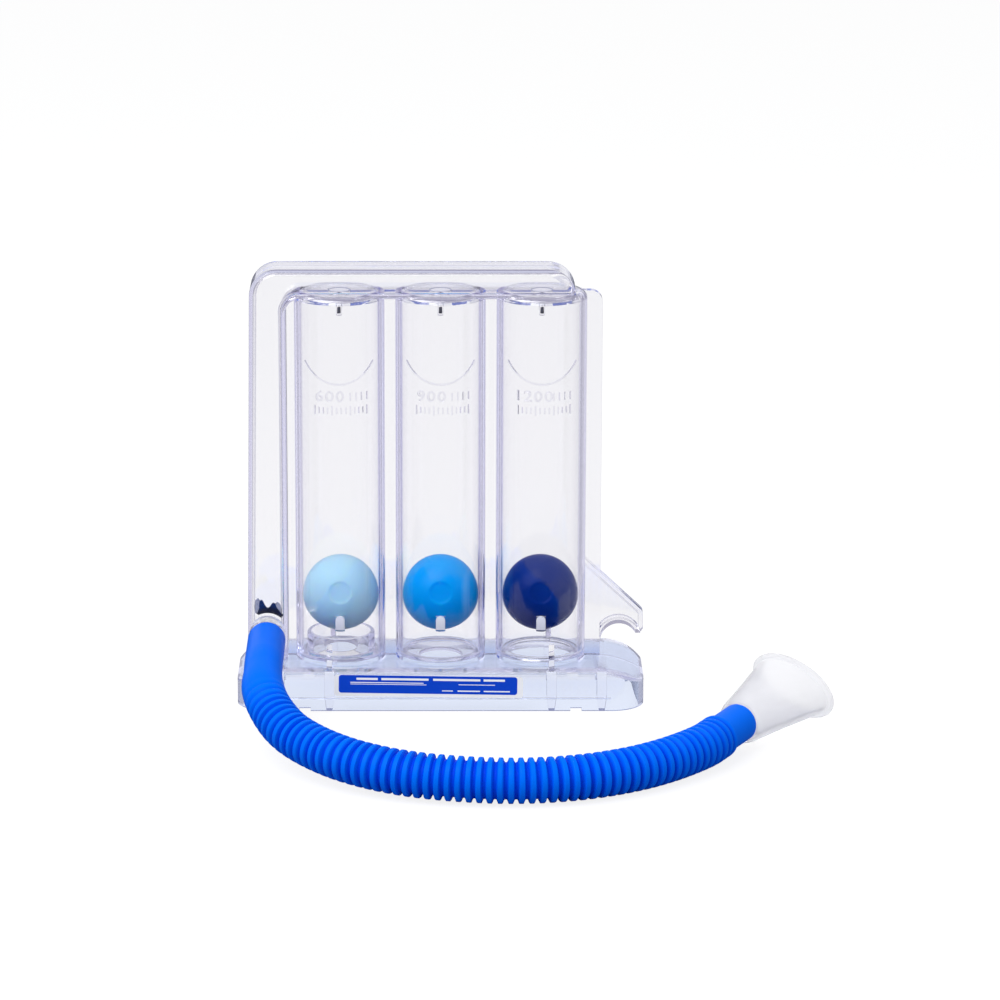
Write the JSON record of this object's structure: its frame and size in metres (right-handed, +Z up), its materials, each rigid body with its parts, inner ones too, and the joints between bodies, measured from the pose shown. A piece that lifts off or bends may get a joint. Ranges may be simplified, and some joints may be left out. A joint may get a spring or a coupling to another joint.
{
  "type": "incentive spirometer",
  "caption": "Clear upright breathing trainer with ball chambers side by side, an air duct, a corrugated hose with an oval mouthpiece, and a hose clip.",
  "frame": {"origin": "on the table under the middle of the base, in the plane where the two shells meet", "axes": "+Z up along the chambers, +X along the row of chambers towards the hose clip, +Y to the back, away from the reader"},
  "size_m": [0.1952, 0.1441, 0.145],
  "materials": {
    "clear_shell": "clear moulded styrene, polished",
    "clear_disc": "clear moulded styrene",
    "clear_port": "clear moulded styrene",
    "pale_blue_ball": "smooth moulded",
    "azure_ball": "smooth moulded",
    "navy_ball": "smooth moulded",
    "blue_hose": "satin, flexible",
    "milky_mouthpiece": "milky translucent, satin",
    "printed_label": "printed film with a white border"
  },
  "bodies": {
    "housing": {"front_shell": "clear_shell", "rear_shell": "clear_shell", "low_flow_disc": "clear_disc", "mid_flow_disc": "clear_disc", "high_flow_disc": "clear_disc", "hose_port": "clear_port", "label": "printed_label"},
    "low_ball": {"low_flow_ball": "pale_blue_ball"},
    "mid_ball": {"mid_flow_ball": "azure_ball"},
    "high_ball": {"high_flow_ball": "navy_ball"},
    "hose": {"port_cuff": "blue_hose", "hose_tube": "blue_hose", "mouthpiece_cuff": "blue_hose"},
    "mouth": {"mouthpiece": "milky_mouthpiece"}
  },
  "joints": [
    {"name": "low_ball_rise", "type": "slide", "parent": "housing", "child": "low_ball", "axis": [0, 0, 1], "range_m": [0, 0.0827]},
    {"name": "mid_ball_rise", "type": "slide", "parent": "housing", "child": "mid_ball", "axis": [0, 0, 1], "range_m": [0, 0.0827]},
    {"name": "high_ball_rise", "type": "slide", "parent": "housing", "child": "high_ball", "axis": [0, 0, 1], "range_m": [0, 0.0827]},
    {"name": "hose_pull_off", "type": "slide", "parent": "housing", "child": "hose", "axis": [0, -1, 0], "range_m": [0, 0.016]},
    {"name": "mouthpiece_pull_off", "type": "slide", "parent": "hose", "child": "mouth", "axis": [0.498, 0.8661, 0.0429], "range_m": [0, 0.0145]}
  ]
}
